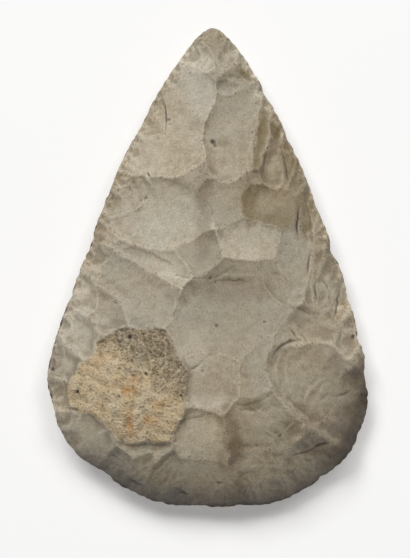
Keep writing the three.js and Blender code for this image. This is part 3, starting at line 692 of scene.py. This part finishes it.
places = gathered(np.dstack([upper_xy, upper_z]), np.dstack([lower_xy, lower_z])) * MM
axe_mesh = bpy.data.meshes.new("flint_axe")
axe_mesh.from_pydata(places, [], faces_of(upper_ids, True) + faces_of(lower_ids, False))
axe_mesh.update()
axe_mesh.shade_smooth()
axe = bpy.data.objects.new("flint_axe", axe_mesh)
bpy.context.collection.objects.link(axe)
triangles = sum(len(p.vertices) - 2 for p in axe_mesh.polygons)
print("points:", len(axe_mesh.vertices), "triangles:", triangles)

# %% [markdown]
# ## What covers what
#
# Old flint is not one colour. Each scar weathered a little differently, iron
# from the ground left olive and rust stains, and earth is ground into seams and
# pits. Some of the colour is painted light and shade: seams, pits and skin
# hollows are darkened partly as painted shadow, low places, creases and the
# butt's rim get painted shade, and crests are paled partly as rubbed wear and
# partly as painted highlight. Each of these is worked out here at every point
# and kept on the mesh as an attribute, for the material to read.

# %% Stains: x, y, turn in degrees, half length, half width, softness, strength
OLIVE_STAINS = [
    [18.3, 46.3, 80, 5.5, 1.9, 0.6, 0.7],
    [16.8, 38.0, 88, 8.0, 2.2, 0.9, 0.45], [22.3, 45.5, 110, 3.2, 1.5, 0.6, 0.7],
    [27.3, 35.0, 98, 9.0, 3.0, 0.9, 0.4], [32.0, 18.5, 100, 9.0, 3.2, 0.9, 0.4],
    [4.8, 41.5, 0, 2.6, 1.8, 0.9, 0.45], [12.4, 64.6, 140, 2.4, 1.5, 0.6, 0.65],
    [2.0, 75.0, 90, 4.5, 3.5, 1.2, 0.35], [14.8, -44.8, 0, 3.2, 1.8, 0.8, 0.4],
    [-33.5, 25.0, 110, 6.5, 2.2, 0.9, 0.4], [-45.5, -40.5, 0, 3.5, 3.0, 0.9, 0.4],
    [23.0, 17.0, 10, 8.0, 3.0, 1.0, 0.25], [13.5, 22.0, 90, 6.5, 2.6, 0.9, 0.5],
    [22.0, 15.5, -10, 8.0, 2.6, 0.9, 0.45],
]
# Besides real stains, the rows along the butt's right rim darken it partly as painted shade, where that slope
# faces away from the lamps.
BROWN_STAINS = [
    [8.4, -59.3, 90, 4.6, 2.9, 1.2, 0.65], [6.8, -56.0, 90, 13.0, 2.7, 0.9, 0.35],
    [5.0, -63.5, 100, 5.0, 2.2, 0.9, 0.35], [-1.8, 17.0, 90, 14.0, 2.4, 1.2, 0.4],
    [9.0, -73.0, 60, 5.0, 3.0, 0.9, 0.35], [7.0, -7.0, 0, 13.0, 4.0, 1.2, 0.25],
    [1.5, -3.6, 30, 3.0, 1.4, 0.9, 0.4], [-0.3, 9.8, 0, 3.0, 1.6, 1.0, 0.35],
    [29.6, 15.5, 90, 6.0, 1.0, 0.8, 0.35], [31.5, -47.0, -40, 4.0, 1.8, 1.0, 0.4],
    [51.8, -44.0, 75, 7.0, 1.6, 0.8, 0.5], [49.0, -52.5, 70, 6.5, 2.0, 0.8, 0.5],
    [45.0, -62.0, 40, 6.0, 4.5, 0.9, 0.6], [51.0, -31.0, 110, 2.4, 1.2, 0.8, 0.5],
    [42.0, -30.8, 0, 3.0, 2.2, 1.0, 0.3], [42.6, -5.0, 110, 4.5, 1.4, 1.0, 0.3],
    [31.0, -13.4, -15, 4.0, 1.0, 1.0, 0.35], [-37.4, 12.0, 110, 4.5, 1.8, 1.0, 0.4],
    [-51.8, -33.0, 90, 4.0, 1.2, 0.9, 0.4], [24.9, 34.5, 110, 6.0, 1.2, 0.9, 0.3],
    [-4.5, 47.5, 20, 4.0, 1.6, 1.2, 0.25], [30.0, -52.0, 30, 8.0, 5.0, 1.4, 0.35],
    [36.0, -60.0, -20, 5.0, 3.0, 1.0, 0.3],
]
RUST_SPOTS = [
    [-26.0, -40.0, 0, 2.6, 1.8, 1.2, 0.8], [-26.0, -51.0, 90, 4.2, 1.7, 1.2, 0.85],
    [-19.0, -49.5, 10, 3.8, 1.8, 1.2, 0.6], [-36.0, -30.5, 30, 3.0, 1.8, 1.4, 0.45],
    [-24.0, -36.5, 0, 4.0, 1.6, 1.2, 0.4], [-15.0, -44.5, 30, 3.0, 1.6, 1.4, 0.4],
    [-36.5, -46.0, 40, 3.5, 1.6, 1.4, 0.35],
]
PALE_STAINS = [
    [-6.5, -26.0, 60, 7.5, 5.5, 1.2, 0.5], [-1.5, -43.8, 0, 8.5, 2.3, 0.9, 0.6],
    [17.0, 57.6, -40, 2.2, 1.1, 0.6, 1.0], [-13.5, -2.2, -8, 5.0, 1.1, 0.8, 0.45],
    [41.0, -27.0, 0, 4.5, 2.6, 1.2, 0.35], [-44.5, -48.6, -5, 4.5, 1.4, 0.9, 0.3],
    [12.0, 4.0, 30, 5.0, 4.0, 1.4, 0.35], [20.5, 51.0, -60, 3.5, 1.6, 0.9, 0.5],
    [25.0, 43.0, -60, 3.0, 1.2, 0.6, 0.5], [-14.0, -21.0, -60, 3.5, 1.5, 1.0, 0.3], [38.6, -14.5, -20, 3.5, 1.4, 1.0, 0.35],
]


def stained(x, y, stains):
    """The strongest of the stains at each point: 1 inside its ellipse, easing to 0
    over the softness, with a border made ragged by grain."""
    most = np.zeros_like(x)
    rag = 0.22 * grain(x, y, 3.1, 61) + 0.16 * grain(x, y, 1.3, 62)
    for sx, sy, turn, long, wide, soft, strength in stains:
        a, dx, dy = math.radians(turn), x - sx, y - sy
        along, off = dx * math.cos(a) + dy * math.sin(a), dy * math.cos(a) - dx * math.sin(a)
        q = np.hypot(along / long, off / wide) + rag
        most = np.maximum(most, strength * ease(1 + soft * 0.5, 1 - soft * 0.5, q))
    return most


def raised_by(z, steps):
    """How far each point stands above its surroundings: its height less the average
    over that many cells each way, and nothing along the rim of the grid."""
    mean = z.copy()
    for axis in (0, 1):
        mean = sum(np.roll(mean, k, axis) for k in range(-steps, steps + 1)) / (2 * steps + 1)
    bulge = z - mean
    bulge[:steps + 1], bulge[-steps - 1:] = 0, 0
    bulge[:, :steps + 1], bulge[:, -steps - 1:] = 0, 0
    return bulge


# %% Put the cover on the mesh
owner, no = cover["owner"], np.zeros_like(lx)
tones = np.array([row[7] for row in UPPER_SCARS] + [0.78])
warmths = np.array([row[8] for row in UPPER_SCARS] + [0.0])
under_tones = 1 + 0.12 * np.sin(2.4 * np.arange(len(UNDER_SCARS) + 1))
shade_of_skin = ease(0, 14, (ux - SKIN_X) * 0.6 + (uy - SKIN_Y) * 0.8 + 3.0 * grain(ux, uy, 4.0, 71))
# Painted shade and earth stain: the rim of the butt is darkened, most of all on its right, where its slopes face
# away from the lamps.
low_rim_soil_and_shade = (0.5 * np.exp(-upper_d / 1.8) + 0.5 * np.exp(-(upper_d / 6) ** 2)) * ease(-48, -70, uy)
right_rim_soil_and_shade = 0.85 * np.exp(-(upper_d / 9) ** 2) * ease(28, 46, ux) * ease(-30, -42, uy)
patchiness = 1 + 0.4 * grain(ux, uy, 5.0, 72)
# Raised and crest say how far a place stands above its surroundings, near and very near.
layers = {
    "skin": (cover["skin"], no),
    "skin_shade": (shade_of_skin, no),
    "dirt_and_shadow": (cover["dirt_and_shadow"], no),
    "raised": (np.clip(raised_by(upper_z, 4) / 0.16, -1, 1),
               np.clip(raised_by(lower_z, 3) / 0.3, -1, 1)),
    "crest": (np.clip(raised_by(upper_z, 1) / 0.03, -1, 1),
              np.clip(raised_by(lower_z, 1) / 0.06, -1, 1)),
    "edge": (np.exp(-upper_d / 4), np.exp(-lower_d / 4)),
    "border": (cover["border"], no + 3),
    "rust": (stained(ux, uy, RUST_SPOTS), no),
    "tone": (tones[owner], under_tones[lower_owner]),
    "warmth": (warmths[owner], 0.4 * grain(lx, ly, 24.0, 83)),
    "olive": (stained(ux, uy, OLIVE_STAINS), 0.5 * ease(0.2, 0.7, grain(lx, ly, 16.0, 81))),
    "soil_and_shade": (np.clip(np.maximum(low_rim_soil_and_shade, right_rim_soil_and_shade) * patchiness, 0, 1), no),
    "brown": (stained(ux, uy, BROWN_STAINS), 0.4 * ease(0.3, 0.8, grain(lx, ly, 11.0, 82))),
    "pale": (stained(ux, uy, PALE_STAINS), no),
}
for name, (above, below) in layers.items():
    values = gathered(above, below).ravel().astype(np.float32)
    axe_mesh.attributes.new(name, "FLOAT", "POINT").data.foreach_set("value", values)
print("attributes:", ", ".join(layers))

# %% [markdown]
# ## Weathered flint
#
# Flint is nearly pure silica, dark and glassy when fresh. Thousands of years
# in the ground turn its surface into a buff, slightly matt patina: light is
# scattered just under the surface, with a dull waxy gloss left on it. The
# chalky skin of the nodule has no gloss at all. One material holds both,
# because the stone is one piece and the border between them is ragged.

# %% Colours, and the one function that adds a node
def colour(code):
    """An sRGB hex code as linear light: each channel, as a share of 255, plus 0.055,
    over 1.055, to the power 2.4; or just over 12.92 where it is very dark."""
    shares = [int(code[k:k + 2], 16) / 255 for k in (1, 3, 5)]
    return [c / 12.92 if c <= 0.04045 else ((c + 0.055) / 1.055) ** 2.4 for c in shares] + [1.0]


def add(tree, kind, out, inputs, **settings):
    """Adds one node. Settings are its own properties, and inputs are plain values or
    the outputs that feed them; gives back the output called out."""
    node = tree.nodes.new("ShaderNode" + kind)
    for key, value in settings.items():
        setattr(node, key, value)
    for key, value in inputs.items():
        if isinstance(value, bpy.types.NodeSocket):
            tree.links.new(value, node.inputs[key])
        else:
            node.inputs[key].default_value = value
    return node.outputs[out] if out is not None else node


# %% Start the stone's material: where each point is, and what covers it
stone = bpy.data.materials.new("weathered_flint")
stone.use_nodes = True
tree = stone.node_tree
tree.nodes.clear()
where = add(tree, "TexCoord", "Object", {})
on = {name: add(tree, "Attribute", "Fac", {}, attribute_name=name) for name in layers}

# Sizes in the patina, in mm: clouds, blotches, mottling, freckles and grain.
CLOUD, BLOTCH, MOTTLE, FRECKLE, GRAIN = 22.0, 7.0, 2.0, 0.95, 0.5
cloud, blotch, mottle, fleck, dust = (
    add(tree, "TexNoise", "Fac", {"Vector": where, "Scale": 1 / (size * MM), "Detail": detail,
                                  "Roughness": 0.62})
    for size, detail in ((CLOUD, 3.0), (BLOTCH, 4.0), (MOTTLE, 3.0), (FRECKLE, 2.0), (GRAIN, 1.0)))

# %% The patina's colour: buff to grey, a little different on every scar
WARM, COOL, DEEP, RUBBED_AND_HIGHLIGHT = "#b4a68c", "#a89f8b", "#8d7e66", "#c9bea8"
OLIVE, BROWN, PAINTED_SHADE, SOIL_AND_SHADE, DIRT_AND_SHADOW = "#77663f", "#6b5436", "#75664f", "#4e4335", "#2b2219"
tint = add(tree, "MapRange", 0, {0: cloud, 1: 0.36, 2: 0.62})
patina = add(tree, "Mix", 2, {0: tint, 6: colour(COOL), 7: colour(WARM)}, data_type="RGBA")
cloudy = add(tree, "Math", 0, {0: mottle, 1: 0.9, 2: cloud}, operation="MULTIPLY_ADD")
deeper = add(tree, "MapRange", 0, {0: cloudy, 1: 0.95, 2: 1.30, 4: 0.7})
paler = add(tree, "MapRange", 0, {0: cloudy, 1: 0.92, 2: 0.60, 4: 0.5})
# Painted highlight, partly rubbed wear: crests that stand above their neighbours are paled.
above = add(tree, "MapRange", 0, {0: on["crest"], 1: 0.2, 2: 1.0, 4: 0.35})
# Painted shade: places lower than their surroundings, and sharp creases, are darkened.
below = add(tree, "MapRange", 0, {0: on["raised"], 1: -0.2, 2: -1.0, 4: 0.35})
crease_shade = add(tree, "MapRange", 0, {0: on["crest"], 1: -0.3, 2: -1.0, 4: 0.30})
# Besides real colour, the rim layer mixed in below darkens the butt's rim as painted shade.
for amount, code in [(deeper, DEEP), (paler, RUBBED_AND_HIGHLIGHT), (on["pale"], RUBBED_AND_HIGHLIGHT), (above, RUBBED_AND_HIGHLIGHT),
                     (below, PAINTED_SHADE), (crease_shade, PAINTED_SHADE), (on["olive"], OLIVE), (on["brown"], BROWN),
                     (on["soil_and_shade"], SOIL_AND_SHADE)]:
    patina = add(tree, "Mix", 2, {0: amount, 6: patina, 7: colour(code)}, data_type="RGBA")

# %% Freckles of iron along ridges and edges, then grain and each scar's tone
arris = add(tree, "MapRange", 0, {0: on["border"], 1: 0.9, 2: 0.1})
near = add(tree, "MapRange", 0, {0: fleck, 1: 0.55, 2: 0.66})
crowd = add(tree, "MapRange", 0, {0: blotch, 1: 0.50, 2: 0.70, 3: 0.04, 4: 0.6})
ridge = add(tree, "MapRange", 0, {0: on["raised"], 1: 0.2, 2: 0.8, 4: 0.4})
rim = add(tree, "MapRange", 0, {0: on["edge"], 1: 0.15, 2: 0.8, 4: 0.6})
line = add(tree, "Math", 0, {0: arris, 1: 0.8}, operation="MULTIPLY")
for more in (ridge, rim, line):
    crowd = add(tree, "Math", 0, {0: crowd, 1: more}, operation="ADD", use_clamp=True)
freckled = add(tree, "Math", 0, {0: near, 1: crowd}, operation="MULTIPLY")
greyed = add(tree, "MapRange", 0, {0: fleck, 1: 0.44, 2: 0.30, 4: 0.4})
RUSTY_SHARE, GREY_SHARE = (0.62, 0.50, 0.36, 1.0), (0.70, 0.71, 0.72, 1.0)
GRAIN_DARK, GRAIN_PALE = 0.82, 1.15
grainy = add(tree, "MapRange", 0, {0: dust, 1: 0.75, 2: 0.25, 3: GRAIN_DARK, 4: GRAIN_PALE})
WARM_SHARE, COOL_SHARE = (1.06, 0.97, 0.82, 1.0), (0.96, 1.00, 1.09, 1.0)
warmer = add(tree, "MapRange", 0, {0: on["warmth"], 1: 0.0, 2: 1.0})
cooler = add(tree, "MapRange", 0, {0: on["warmth"], 1: 0.0, 2: -1.0})
for amount, share in [(freckled, RUSTY_SHARE), (greyed, GREY_SHARE), (1.0, grainy),
                      (1.0, on["tone"]), (warmer, WARM_SHARE), (cooler, COOL_SHARE)]:
    patina = add(tree, "Mix", 2, {0: amount, 6: patina, 7: share}, data_type="RGBA",
                 blend_type="MULTIPLY")

# %% The skin's colour: crumbling chalk, stained with ochre, rust and grey
CHALK, OCHRE, RUST, SMOKE = "#cfbd9d", "#c2a678", "#bb8748", "#746a5a"
GAP_AND_SHADE, CRUST = "#54442f", "#e0d6c2"
LUMP, SPOT, CRUMB = 5.0, 2.6, 0.9
lump, spot, crumb = (
    add(tree, "TexNoise", "Fac", {"Vector": where, "Scale": 1 / (size * MM), "Detail": 3.0,
                                  "Roughness": 0.65})
    for size in (LUMP, SPOT, CRUMB))
ochre = add(tree, "MapRange", 0, {0: lump, 1: 0.38, 2: 0.70, 4: 0.8})
rust = add(tree, "MapRange", 0, {0: spot, 1: 0.36, 2: 0.60, 3: 0.3, 4: 0.9})
rust = add(tree, "Math", 0, {0: rust, 1: on["rust"]}, operation="MULTIPLY")
chalk = add(tree, "Mix", 2, {0: ochre, 6: colour(CHALK), 7: colour(OCHRE)}, data_type="RGBA")
smoke = add(tree, "Math", 0, {0: crumb, 1: 0.9, 2: on["skin_shade"]}, operation="MULTIPLY_ADD")
smoke = add(tree, "MapRange", 0, {0: smoke, 1: 0.55, 2: 1.35, 4: 0.6})
# Painted shade: hollows in the skin are darkened.
hollow = add(tree, "MapRange", 0, {0: on["raised"], 1: -0.2, 2: -1.0, 4: 0.3})
crack = add(tree, "Math", 0, {0: on["skin_shade"], 1: 0.06, 2: crumb}, operation="MULTIPLY_ADD")
gaps = add(tree, "MapRange", 0, {0: crack, 1: 0.56, 2: 0.68, 4: 0.7})
crust = add(tree, "MapRange", 0, {0: crumb, 1: 0.44, 2: 0.30, 4: 0.5})
for amount, code in [(rust, RUST), (smoke, SMOKE), (hollow, GAP_AND_SHADE), (gaps, GAP_AND_SHADE),
                     (crust, CRUST)]:
    chalk = add(tree, "Mix", 2, {0: amount, 6: chalk, 7: colour(code)}, data_type="RGBA")

# %% Both together, with grain too fine to model
FLINT_IOR, FLINT_ROUGH, CHALK_ROUGH = 1.54, 0.60, 0.95
whole = add(tree, "Mix", 2, {0: on["skin"], 6: patina, 7: chalk}, data_type="RGBA")
# Seams and pits are darkened, partly ground-in earth and partly painted shadow.
grime_and_shadow = add(tree, "MapRange", 0, {0: on["dirt_and_shadow"], 1: 0.45, 2: 0.9, 4: 0.9})
whole = add(tree, "Mix", 2, {0: grime_and_shadow, 6: whole, 7: colour(DIRT_AND_SHADOW)}, data_type="RGBA")
dull = add(tree, "MapRange", 0, {0: on["skin"], 3: FLINT_ROUGH, 4: CHALK_ROUGH})
tiny = add(tree, "Bump", "Normal", {"Strength": 0.5, "Distance": 0.10 * MM, "Height": dust})
crumbly = add(tree, "Bump", "Normal", {"Strength": on["skin"], "Distance": 0.9 * MM, "Height": crumb,
                                       "Normal": tiny})
shader = add(tree, "BsdfPrincipled", "BSDF", {"Base Color": whole, "Roughness": dull,
                                             "IOR": FLINT_IOR, "Normal": crumbly})
add(tree, "OutputMaterial", None, {"Surface": shader})
axe_mesh.materials.append(stone)
print("material:", stone.name, "with", len(tree.nodes), "nodes")

# %% Hand the mesh to the CAD node it dresses
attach(axe, "root")
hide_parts("hand_axe")

# %% [markdown]
# ## Floor, light and camera
#
# The stone lies on a plain white sweep, lit by two large soft lamps beyond its
# tip, the stronger one a little to the left, with the rest of the room as a
# faint fill. The camera is straight above, on a long lens, as objects in a
# collection are usually recorded. One lamp alone would leave harder shadows.

# %% The floor
FLOOR_HALF = 1.5
floor_mesh = bpy.data.meshes.new("floor")
floor_mesh.from_pydata([(-FLOOR_HALF, -FLOOR_HALF, 0), (FLOOR_HALF, -FLOOR_HALF, 0),
                        (FLOOR_HALF, FLOOR_HALF, 0), (-FLOOR_HALF, FLOOR_HALF, 0)], [], [(0, 1, 2, 3)])
floor = bpy.data.objects.new("floor", floor_mesh)
bpy.context.collection.objects.link(floor)
paper = bpy.data.materials.new("matt_white_paper")
paper.use_nodes = True
paper.node_tree.nodes.clear()
sheet = add(paper.node_tree, "BsdfDiffuse", 0, {"Color": (0.80, 0.795, 0.78, 1.0)})
glow = add(paper.node_tree, "Emission", 0, {"Color": (0.98, 0.98, 1.0, 1.0), "Strength": 0.24})
both = add(paper.node_tree, "AddShader", 0, {0: sheet, 1: glow})
add(paper.node_tree, "OutputMaterial", None, {"Surface": both})
floor_mesh.materials.append(paper)


# %% The lamp and the room
def aim(thing, start, target):
    """Places a lamp or camera at start with its minus Z axis toward the target."""
    thing.location = start
    thing.rotation_euler = (Vector(target) - Vector(start)).to_track_quat("-Z", "Y").to_euler()


LAMPS = [                    # name, azimuth and height in degrees, watts
    ["soft_key", 114.0, 53.0, 248.0], ["soft_fill", 62.0, 56.0, 120.0],
]
LAMP_DISTANCE, LAMP_SIZE = 6.0, 2.6
for name, azimuth, height, watts in LAMPS:
    lamp_data = bpy.data.lights.new(name, "AREA")
    lamp_data.shape, lamp_data.size, lamp_data.energy = "SQUARE", LAMP_SIZE, watts
    lamp = bpy.data.objects.new(name, lamp_data)
    bpy.context.collection.objects.link(lamp)
    across, up = (LAMP_DISTANCE * f(math.radians(height)) for f in (math.cos, math.sin))
    aim(lamp, (across * math.cos(math.radians(azimuth)), across * math.sin(math.radians(azimuth)), up),
        (0, 0, 0))

scene = bpy.context.scene
room = bpy.data.worlds.new("room")
room.use_nodes = True
room.node_tree.nodes["Background"].inputs["Color"].default_value = (0.93, 0.94, 1.0, 1.0)
room.node_tree.nodes["Background"].inputs["Strength"].default_value = 0.10
scene.world = room
scene.view_settings.view_transform = "Standard"

# %% The camera, straight above
VIEW_HEIGHT, EDGE_PLANE, LENS = 0.186, 0.012, 200.0
CENTRE_X, CENTRE_Y, SENSOR = -1.1 * MM, -3.6 * MM, 36.0
camera_data = bpy.data.cameras.new("camera")
camera_data.lens, camera_data.sensor_width = LENS, SENSOR
camera = bpy.data.objects.new("camera", camera_data)
bpy.context.collection.objects.link(camera)
camera.location = (CENTRE_X, CENTRE_Y, EDGE_PLANE + VIEW_HEIGHT * LENS / SENSOR)
scene.camera = camera
